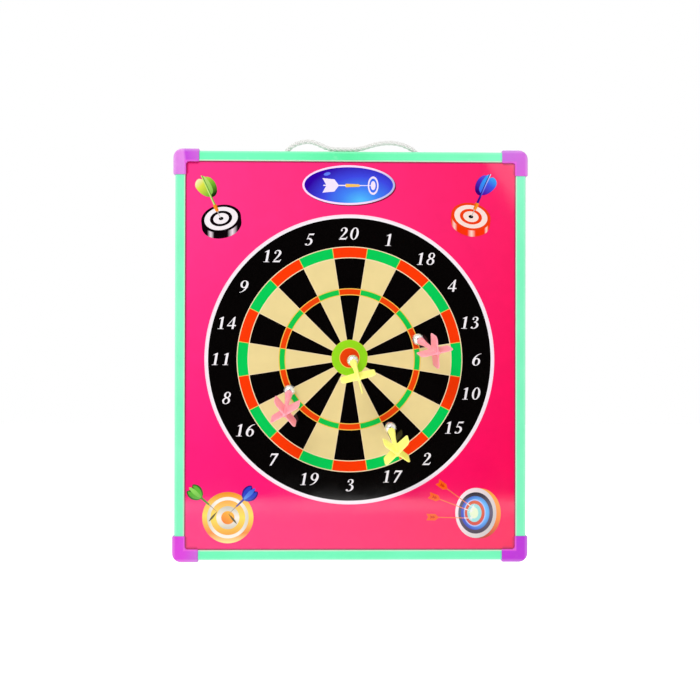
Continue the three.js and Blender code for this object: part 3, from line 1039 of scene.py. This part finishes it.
def add_top_pictures():
    """A green dart in a black disc at the left, and a blue one in a red disc at the right."""
    common = {
        "face": (244, 236, 240),
        "dot": (14, 8, 12),
        "point": (190, 180, 176),
        "barrel": (246, 146, 34),
        "barrel_shade": (226, 104, 18),
    }
    black_rim = rim_stops((14, 5, 10), (240, 220, 230), ((0.22, 0.08), (0.76, 0.12)))
    greens = {
        "rim": along_line((-155.4, 140), (-113.4, 140), black_rim),
        "ring": (12, 4, 9),
        "near_wing": along_line(
            (-161, 182), (-146, 168), [(0.0, (250, 240, 190)), (0.35, (222, 226, 74)), (1.0, (112, 178, 52))]
        ),
        "far_wing": along_line(
            (-150, 186), (-140, 170), [(0.0, (176, 212, 70)), (0.45, (110, 176, 46)), (1.0, (28, 48, 14))]
        ),
        "vane": along_line((-152, 188), (-143, 168), [(0.0, (196, 226, 120)), (1.0, (120, 186, 70))]),
        "shaft": (196, 232, 120),
        "shaft_edge": (98, 150, 50),
    }
    red_rim = rim_stops((250, 52, 6), (255, 214, 200), ((0.1, 0.07), (0.53, 0.1), (0.9, 0.05)))
    blues = {
        "rim": along_line((104, 140), (146, 140), red_rim),
        "ring": (240, 62, 14),
        "face": (252, 226, 216),
        "near_wing": along_line(
            (150, 186), (138, 170), [(0.0, (44, 168, 244)), (0.45, (60, 84, 226)), (1.0, (84, 6, 160))]
        ),
        "far_wing": along_line(
            (142, 190), (133, 172), [(0.0, (104, 92, 222)), (0.45, (76, 44, 196)), (1.0, (56, 0, 110))]
        ),
        "vane": along_line((144, 188), (135, 168), [(0.0, (40, 168, 250)), (1.0, (64, 84, 230))]),
        "shaft": along_line(
            (146, 190), (131, 158), [(0.0, (206, 214, 255)), (0.5, (110, 120, 240)), (0.75, (46, 24, 140))]
        ),
        "shaft_edge": (40, 4, 130),
    }
    disc_and_dart("picture_top_left", (-135.4, 142.4), 1, {**common, **greens})
    disc_and_dart("picture_top_right", (125.6, 145.6), -1, {**common, **blues})


FLIGHT = [(0, 21), (-4.2, 23), (-7.6, 28.2), (-7.4, 34), (-4.6, 37.6), (-2.2, 36.2)]
FLIGHT_SIDE = [(-1.2, 22), (-5.6, 27.5), (-5.8, 34.5), (-3.6, 36.6)]
FLIGHT_RIDGE = [(0, 20), (-1.7, 26), (-2.0, 34), (0, 38.4), (2.0, 34), (1.7, 26)]


def small_dart(colour_name, tip, angle, shadow):
    """A small steel-pointed dart, and the shadow that it throws on the target."""
    left = curve_through(FLIGHT, 4)
    side = curve_through(FLIGHT_SIDE, 4, closed=True)
    shapes = [
        ("flight_" + colour_name, left + mirrored(left)),
        ("side_" + colour_name, side),
        ("side_" + colour_name, [(-x, z) for x, z in side]),
        ("ridge_" + colour_name, curve_through(FLIGHT_RIDGE, 4, closed=True)),
        ("stem_" + colour_name, [(-0.8, 11), (0.8, 11), (1.2, 22), (-1.2, 22)]),
        ("steel", [(-0.15, 0), (0.15, 0), (0.5, 11.2), (-0.5, 11.2)]),
    ]
    layers = [("shadow", placed(brush([(0, 0, 0.3), (0, 8, 2.2), (0, 13, 0.6)]), tip, shadow))]
    return layers + [(name, placed(outline, tip, angle)) for name, outline in shapes]


def add_bottom_left_picture():
    """A round target in orange, yellow and grey with two crossing darts."""
    x, z, radius = -127.4, -169.0, 26.6
    down, across = ((x, z + radius), (x, z - radius)), ((x - radius, z), (x + radius, z))
    green_run, blue_run = ((-166, -138), (-152, -152)), ((-98, -140), (-112, -154))
    orange, yellow, pale = (242, 150, 38), (252, 222, 84), (255, 232, 150)
    white, grey = (252, 240, 226), (196, 192, 176)
    shares = {"outer": 1.0, "white_outer": 0.81, "inner": 0.68, "white_inner": 0.45, "middle": 0.26}
    layers = [(name, circle(x, z, radius * share)) for name, share in shares.items()]
    layers += small_dart("green", (-138.6, -162.8), 49, 140)
    layers += small_dart("blue", (-126.6, -165.2), -46, -140)
    inks = {
        "outer": along_line(*down, [(0.0, orange), (0.45, yellow), (0.8, (246, 140, 52)), (1.0, pale)]),
        "white_outer": along_line(*across, [(0.0, grey), (0.3, white), (0.7, white), (1.0, grey)]),
        "inner": along_line(*down, [(0.1, orange), (0.5, yellow), (0.9, orange)]),
        "white_inner": along_line(*down, [(0.3, grey), (0.5, white), (0.75, grey)]),
        "middle": along_line((x + 5, z + 7), (x - 5, z - 7), [(0.0, (253, 190, 40)), (1.0, (240, 112, 10))]),
        "shadow": (92, 78, 30),
        "flight_green": along_line(*green_run, [(0.0, (40, 78, 36)), (1.0, (60, 128, 40))]),
        "side_green": (96, 182, 58),
        "ridge_green": along_line((-164, -140), (-150, -154), [(0.0, (148, 222, 96)), (1.0, (84, 160, 60))]),
        "stem_green": (64, 136, 30),
        "flight_blue": along_line(*blue_run, [(0.0, (30, 16, 110)), (1.0, (44, 44, 160))]),
        "side_blue": (46, 66, 196),
        "ridge_blue": along_line(*blue_run, [(0.0, (60, 90, 214)), (1.0, (104, 164, 240))]),
        "stem_blue": (56, 60, 150),
        "steel": (150, 124, 116),
    }
    print_layers("picture_bottom_left", layers, inks)


FEATHER = [(-0.6, 6.6), (-3.4, 3.4), (-3.4, -6)]
BARB = [(-0.5, 3), (-1.9, 0.5), (-0.5, 1), (-1.9, -2)]
ARROWS = (((95.7, -135.2), (127, -158)), ((87.4, -147.7), (125, -162)), ((85.3, -168.6), (125, -169.6)))


def arrow(tail, tip):
    """A thin arrow with feathers, from the middle of its feathers to its tip."""
    tail, tip = Vector(tail), Vector(tip)
    run = tip - tail
    angle = math.degrees(math.atan2(run.y, run.x)) - 90
    reach = run.length
    head = [(-0.55, reach - 6), (-0.4, reach - 2)]
    shapes = [
        ("arrow_shaft", [(-0.45, 0), (0.45, 0), (0.35, reach - 5), (-0.35, reach - 5)]),
        ("arrow_feather", [*FEATHER, (0, -4), *mirrored(FEATHER)]),
        ("arrow_barb", [*BARB, (0, -1.4), *mirrored(BARB)]),
        ("arrow_tip", [*head, (0, reach), *mirrored(head)]),
    ]
    return [(name, placed(outline, tail, angle)) for name, outline in shapes]


def splinters(x, z):
    """A small star of cracks round the place that an arrow has hit."""
    outline = []
    for i, reach in enumerate((3.2, 0.9, 4.0, 1.0, 2.8, 0.9, 3.6, 1.0, 2.4, 0.8)):
        angle = 2 * math.pi * i / 10
        outline.append(Vector((x + 1.5 + reach * math.cos(angle), z + reach * math.sin(angle))))
    return outline


def add_bottom_right_picture():
    """An archery target turned a little to the left, with three arrows in its middle."""
    x, z = 131.2, -164.2
    # Each ring: its ink, how far it lies aside, and half its width and height.
    rings = (
        ("edge", 0.0, 21.5, 26.1),
        ("dark", -0.2, 18.2, 21.6),
        ("blue", -0.6, 14.9, 17.6),
        ("lilac", -1.1, 11.4, 14.2),
        ("red", -1.2, 10.4, 13.0),
        ("cyan", -1.5, 7.5, 9.5),
        ("pale", -1.9, 4.4, 5.8),
    )
    side = ellipse(x, z, 21.5, 26.1)
    layers = [("side", swept(side, (4.6, -0.6)))]
    layers += [(name, ellipse(x + aside, z, half_x, half_z)) for name, aside, half_x, half_z in rings]
    for tail, tip in ARROWS:
        layers += arrow(tail, tip)
        layers.append(("splinter", splinters(*tip)))
    rose = [(0.0, (255, 232, 238)), (1.0, (206, 198, 196))]
    wood = [(0.0, (255, 176, 74)), (0.6, (252, 140, 50)), (1.0, (196, 58, 40))]
    night = [(0.0, (50, 42, 54)), (0.5, (92, 84, 112)), (1.0, (66, 46, 66))]
    inks = {
        "side": along_line((x + 14, z + 24), (x + 10, z - 24), wood),
        "edge": along_line((x - 20, z + 10), (x + 20, z - 10), rose),
        "dark": along_line((x, z + 22), (x, z - 22), night),
        "blue": round_point((x + 2, z + 1), 16, 19, [(0.6, (104, 186, 250)), (1.0, (58, 78, 196))]),
        "red": along_line((x, z + 13), (x, z - 13), [(0.0, (222, 96, 56)), (1.0, (214, 74, 62))]),
        "lilac": (176, 196, 250),
        "cyan": (156, 222, 222),
        "splinter": (240, 240, 238),
        "pale": (232, 244, 206),
        "arrow_shaft": (252, 132, 60),
        "arrow_feather": (255, 98, 10),
        "arrow_barb": (222, 52, 0),
        "arrow_tip": (250, 236, 226),
    }
    print_layers("picture_bottom_right", layers, inks)


BADGE_CENTRE = (-2.4, 178.0)
BADGE_HALF = (48.4, 20.8)
BADGE_RIM = 2.1
DEVICE_PLACE = (25.5, -0.4)  # from the badge's middle to the middle of its target


def add_badge():
    """An oval badge with a plain dart and target on it."""
    x, z = BADGE_CENTRE
    half_x, half_z = BADGE_HALF
    hub = Vector(BADGE_CENTRE) + Vector(DEVICE_PLACE)
    layers = [
        ("shadow", ellipse(x + 1.1, z - 1.0, half_x, half_z, count=120)),
        ("rim", ellipse(x, z, half_x, half_z, count=120)),
        ("ground", ellipse(x, z, half_x - BADGE_RIM, half_z - BADGE_RIM, count=120)),
        ("gleam", ellipse(x - 22.6, z + 11.6, 3.6, 1.6, 14, count=32)),
        ("device_ring", ellipse(*hub, 5.6, 9.6)),
        ("device_gap", ellipse(*hub, 4.1, 7.4)),
        ("device_ring", ellipse(*hub, 2.5, 4.7)),
    ]
    shapes = [
        ("device", [(-0.25, 0), (0.25, 0), (0.5, 14), (-0.5, 14)]),
        ("device_barrel", rounded([(-1.3, 14, 0.9), (1.3, 14, 0.9), (1.8, 29, 0.9), (-1.8, 29, 0.9)], 4)),
        ("device", [(-0.6, 28.6), (0.6, 28.6), (0.6, 52), (-0.6, 52)]),
    ]
    for side in (-1, 1):
        shapes.append(("device", [(side * 0.4, 36), (side * 6.4, 40.5), (side * 7.6, 53), (side * 0.4, 49)]))
    layers += [(name, placed(outline, hub, 90)) for name, outline in shapes]
    silver = [(0.0, (255, 222, 252)), (0.7, (250, 222, 252)), (1.0, (172, 180, 226))]
    sky = [(0.0, (84, 192, 250)), (0.3, (66, 132, 244)), (0.62, (62, 72, 224)), (0.95, (50, 2, 164))]
    inks = {
        "shadow": (120, 24, 50),
        "rim": along_line((x - half_x, z + 12), (x + half_x, z - 12), silver),
        "ground": round_point((x + 12, z - 17), 62, 42, sky),
        "gleam": (96, 128, 246),
        "device": (244, 228, 250),
        "device_barrel": (252, 196, 92),
        "device_ring": (244, 228, 250),
        "device_gap": (60, 108, 240),
    }
    print_layers("badge", layers, inks)


CAP_REACH = 13.7  # how far a cap's arm runs along the opening's edge
CAP_SHADE = (-4.0, -1.2)  # where the painted shade beside a cap's arm starts and is full, past the opening's edge
SEAM_SHADE = (-1.9, -0.4)  # the same for the painted shade, a dark line, along the rails' lips
SHADING_RISE = (0.2, 0.85)  # where the painted shading from the sheet's lower pink to its upper one starts, and is all of it


def add_panel_materials():
    """Materials for the panel's three layers, which keep their CAD shapes."""
    low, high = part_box("front_sheet")
    sides = (low.x / MM, 0), (high.x / MM, 0)
    # Painted shading: magenta at the left to a deeper red at the right, and deeper still low on the sheet.
    upper = along_line(*sides, [(0.0, (254, 58, 139)), (0.5, (254, 46, 122)), (1.0, (254, 30, 100))])
    lower = along_line(*sides, [(0.0, (254, 30, 124)), (0.5, (254, 26, 110)), (1.0, (254, 8, 88))])

    def pink(shader):
        """Pink, with painted shade where the rails and caps overhang it, and painted shading across and up
        the sheet.
        """
        by_rails, _ = shader.beyond(*OPENING)
        _, to_caps = shader.beyond(OPENING[0] - CAP_REACH, OPENING[1] - CAP_REACH)
        in_corner = shader.spread(to_caps, 0, MM)
        # painted shade beside the caps' arms
        near_cap = shader.spread(by_rails, *(place * MM for place in CAP_SHADE))
        in_seam_shade = shader.spread(by_rails, *(place * MM for place in SEAM_SHADE))
        height = shader.add("SeparateXYZ", {0: shader.place}).outputs["Z"]
        rise = shader.spread(height, *(low.z + share * (high.z - low.z) for share in SHADING_RISE))
        ground = shader.mix(rise, lower(shader), upper(shader))
        by_caps = shader.maths("MULTIPLY", shader.maths("MULTIPLY", near_cap, in_corner), 0.9)
        shaded = shader.mix(by_caps, ground, paint(206, 0, 96))
        # painted shade: a dark line along the rails' lips, deeper by the caps
        seam_shade = shader.mix(in_corner, paint(168, 44, 84), paint(196, 0, 92))
        return shader.mix(in_seam_shade, shaded, seam_shade)

    card = Shader("white_card", {"Roughness": 0.75})
    fibres = card.noise(900, 5, card.at(1, 1, 0.25))
    cloud = card.spread(card.noise(12, 4), 0.3, 0.7)
    clean = card.mix(cloud, paint(247, 245, 240), paint(243, 241, 235))
    card.colour(card.mix(card.spread(fibres, 0.45, 0.75, 0, 0.35), clean, paint(206, 199, 184)))
    fibre = Shader("pressed_fibre", {"Roughness": 0.95})
    strands = fibre.noise(500, 6, fibre.at(1, 1, 0.3))
    fibre.colour(fibre.mix(strands, paint(120, 88, 58), paint(196, 160, 116)))
    for node, material in (
        ("front_sheet", ink("pink_ground", pink)),
        ("back_sheet", card.bump((fibres, 0.00004), (cloud, 0.0001))),
        ("core_panel", fibre.bump((strands, 0.0002))),
    ):
        slots = frame["nodes"][node].data.materials
        slots.clear()
        slots.append(material)


def add_print():
    add_panel_materials()
    add_dial()
    add_badge()
    add_top_pictures()
    add_bottom_left_picture()
    add_bottom_right_picture()


# --- Darts ----------------------------------------------------------------------------

SEAT_RADIUS = 6.3
SEAT_RIM = 3.9
SEAT_START = 0.02  # the angle from the seat's middle at which its first ring lies
SEAT_STEPS = 8
SPINE_SIDES = 40
NECK = [
    (3.9, 6.3), (3.7, 9.5), (3.2, 13.5), (2.7, 18), (2.4, 25), (2.3, 32), (2.2, 47), (1.6, 48.7),
    (0.6, 49),
]
VANES = 4
VANE_FRONT, VANE_REAR, VANE_TIP = 32.0, 48.0, 18.0
VANE_SWEEP = 1.5
VANE_ROOT_THICKNESS, VANE_TIP_THICKNESS = 1.5, 1.0
TAIL_VOXEL = 0.36
BALL_RINGS, BALL_SIDES = 40, 64
# Each tail's lean away from straight out, the way it leans and its turn about its own axis, in degrees.
LEANS = {1: (24, 16, -2), 2: (28, 48, 52), 3: (30, -8, 42), 4: (31, 11, 40)}


def spine():
    """The tail's round spine about +Z, hollowed in front to sit on the ball, as (vertices, faces)."""
    rim_angle = math.asin(SEAT_RIM / SEAT_RADIUS)
    seat = [SEAT_START + (rim_angle - SEAT_START) * i / SEAT_STEPS for i in range(SEAT_STEPS + 1)]
    profile = [(SEAT_RADIUS * math.sin(a), SEAT_RADIUS * math.cos(a)) for a in seat]
    return turned(profile + curve_through(NECK, 4), SPINE_SIDES)


def vane(turn):
    """One vane of the tail: a rounded blade that thins towards its tip, as (vertices, faces)."""
    corners = [
        (0, VANE_FRONT, 0),
        (VANE_TIP, VANE_FRONT + VANE_SWEEP, 2.5),
        (VANE_TIP, VANE_REAR, 4.5),
        (0, VANE_REAR, 0),
    ]
    outline = rounded(corners, segments=10)
    loops = []
    for side in (-1, 1):
        ring = []
        for p in outline:
            thickness = VANE_ROOT_THICKNESS + (VANE_TIP_THICKNESS - VANE_ROOT_THICKNESS) * p.x / VANE_TIP
            ring.append(turn @ Vector((p.x, side * thickness / 2, p.y)))
        loops.append(ring)
    return stack(loops)


def tail_mesh():
    """The tail in millimetres about its ball's centre, as one moulded skin with soft edges and roots."""
    vanes = [vane(Matrix.Rotation(2 * math.pi * i / VANES, 3, "Z")) for i in range(VANES)]
    tail = new_object("tail", new_mesh("tail", *joined([spine(), *vanes])))
    fuse = tail.modifiers.new("fuse", "REMESH")
    fuse.mode = "VOXEL"
    fuse.voxel_size = TAIL_VOXEL
    soften = tail.modifiers.new("soften", "SMOOTH")
    soften.factor = 0.5
    soften.iterations = 5
    bpy.context.view_layer.update()
    settle(tail)
    made = tail.data
    bpy.data.objects.remove(tail)
    return made


def lean_matrix(lean, aim, turn):
    """Turns the tail's +Z along its lean, as it is in the CAD model."""
    lean, aim = math.radians(lean), math.radians(aim)
    out = Vector((0, -1, 0))
    low = Vector((math.sin(aim), 0, -math.cos(aim)))
    axis = out * math.cos(lean) + low * math.sin(lean)
    across = out.cross(low)
    low_vane = across.cross(axis)
    basis = Matrix((low_vane, across, axis)).transposed()
    return basis @ Matrix.Rotation(math.radians(turn), 3, "Z")


def ball_mesh(radius):
    """A fine sphere, as (vertices, faces)."""
    polars = [math.pi * i / BALL_RINGS for i in range(1, BALL_RINGS)]
    return turned([(radius * math.sin(a), -radius * math.cos(a)) for a in polars], BALL_SIDES)


def chrome():
    """Bright plating with faint smears and a few hairline scratches."""
    shader = Shader("chrome", {"Metallic": 0.78})
    smears = shader.spread(shader.noise(420, 4), 0.35, 0.75, 0.05, 0.16)
    hairs = shader.spread(shader.noise(1, 2, shader.at(2600, 700, 90)), 0.62, 0.72)
    shader.roughness(shader.maths("ADD", smears, shader.maths("MULTIPLY", hairs, 0.12)))
    worn = shader.spread(smears, 0.05, 0.16)
    shader.colour(shader.mix(worn, (0.95, 0.94, 0.91, 1), (0.86, 0.84, 0.81, 1)))
    return shader.bump((shader.noise(900, 2), 0.000004))


def soft_plastic(name, body, deep, glow):
    """Soft tinted plastic that lets light through: deeper towards the spine, clearer in its thin edges. A
    faint painted glow of its deep colour lifts its shaded side.
    """
    inner = {"Subsurface Weight": 0.75, "Subsurface Radius": glow, "Subsurface Scale": 0.004}
    # painted glow: the deep colour is emitted faintly, though the plastic is no lamp
    shader = Shader(name, {"IOR": 1.46, "Emission Color": deep, "Emission Strength": 0.09, **inner})
    flow = shader.spread(shader.noise(130, 3, shader.at(1, 1, 0.35)), 0.32, 0.68)
    shader.colour(shader.mix(shader.maths("MULTIPLY", flow, 0.5), body, deep))
    shader.roughness(shader.spread(flow, 0, 1, 0.3, 0.44))
    return shader.bump((shader.noise(1500, 2), 0.000012), (flow, 0.00006))


def add_darts():
    skin = tail_mesh()
    metal = chrome()
    yellow = (0.91, 0.90, 0.24, 1), (0.86, 0.84, 0.13, 1), (1.0, 0.95, 0.5)
    pink = (0.90, 0.35, 0.39, 1), (0.83, 0.18, 0.26, 1), (1.0, 0.6, 0.6)
    plastics = {
        "yellow_tail": soft_plastic("yellow_soft", *yellow),
        "pink_tail": soft_plastic("pink_soft", *pink),
    }
    finishes = {part["node"]: part["material_slot"] for part in frame["record"]["subparts"]}
    for number, lean in LEANS.items():
        dart = f"dart_{number}"
        low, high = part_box(dart + "_magnet_ball")
        centre = (low + high) / 2
        vertices, faces = ball_mesh((high.y - low.y) / 2)
        placed_vertices = [v + centre for v in vertices]
        ball = make_piece(dart + "_ball", placed_vertices, faces, metal, dart + "_head", 60)
        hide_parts(dart + "_magnet_ball")
        place = Matrix.Translation(centre) @ lean_matrix(*lean).to_4x4() @ Matrix.Scale(MM, 4)
        mesh = skin.copy()
        mesh.transform(place)
        tail = new_object(dart + "_soft_tail", mesh)
        slot = finishes[dart + "_tail"]
        mesh.materials.clear()
        mesh.materials.append(plastics[slot])
        shade_smooth(tail, 80)
        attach(tail, dart + "_flight")
        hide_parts(dart + "_tail")


# --- Studio ---------------------------------------------------------------------------

FLOOR_LEVEL = -0.45
FLOOR_REACH = 6
CARD_DISTANCE = 2.0
# Cards behind the camera that only reflections show: corners (x, z), how much nearer, and how bright.
CARDS = (
    ("dark_card", ((-1.1, -0.415), (1.1, -0.415), (1.1, 1.2), (-1.1, 1.2)), 0.0, 0.0),
    ("low_card", ((-1.4, -1.2), (1.4, -1.2), (1.4, -0.415), (-1.4, -0.415)), 0.0, 2.5),
    ("corner_card", ((0.376, 0.65), (0.59, 0.365), (0.80, 0.60), (0.60, 0.85)), 0.01, 1.6),
    ("corner_core", ((0.42, 0.68), (0.63, 0.395), (0.82, 0.62), (0.63, 0.87)), 0.02, 3.2),
)


def add_card(name, corners, nearer, brightness):
    material = bpy.data.materials.new(name)
    nodes = Nodes(material)
    glow = nodes.add("Emission", {"Strength": brightness})
    nodes.add("OutputMaterial", {"Surface": glow.outputs[0]})
    places = [(x, nearer - CARD_DISTANCE, z) for x, z in corners]
    card = new_object(name, new_mesh(name, places, [(0, 1, 2, 3)], material))
    card.visible_camera = False
    card.visible_diffuse = False
    card.visible_shadow = False
    card.visible_transmission = False


def add_floor():
    shader = Shader("pale_floor", {"Roughness": 0.8, "Emission Color": WHITE, "Emission Strength": 0.3})
    drift = shader.spread(shader.noise(3, 3), 0.3, 0.7)
    shader.colour(shader.mix(drift, (0.93, 0.93, 0.93, 1), (0.9, 0.9, 0.9, 1)))
    places = [(FLOOR_REACH * i, FLOOR_REACH * k, FLOOR_LEVEL) for i, k in SQUARE]
    floor = new_object("floor", new_mesh("floor", places, [(0, 1, 2, 3)], shader.material))


def add_light(name, place, size, power):
    """A round light that shines on the board's middle."""
    data = bpy.data.lights.new(name, "AREA")
    data.shape = "DISK"
    data.size = size
    data.energy = power
    light = new_object(name, data)
    light.location = place
    light.rotation_euler = (-Vector(place)).to_track_quat("-Z", "Y").to_euler()
    light.visible_camera = False


def add_world():
    """A white surround: a little softer as a light than as a backdrop."""
    world = bpy.data.worlds.new("studio")
    scene.world = world
    nodes = Nodes(world)
    surround = nodes.add("Background", {"Color": WHITE, "Strength": 0.82})
    backdrop = nodes.add("Background", {"Color": WHITE, "Strength": 1.0})
    seen = nodes.add("LightPath").outputs["Is Camera Ray"]
    chosen = nodes.add("MixShader", {0: seen, 1: surround.outputs[0], 2: backdrop.outputs[0]})
    nodes.add("OutputWorld", {"Surface": chosen.outputs[0]})


def add_studio():
    add_world()
    add_floor()
    for card in CARDS:
        add_card(*card)
    add_light("key", (-0.9, -1.5, 1.5), size=1.2, power=26)
    add_light("back", (0.6, 1.8, 1.4), size=1.6, power=12)
    scene.view_settings.view_transform = "Standard"


add_camera()
add_cord()
add_frame()
add_print()
add_darts()
add_studio()

bpy.context.view_layer.update()
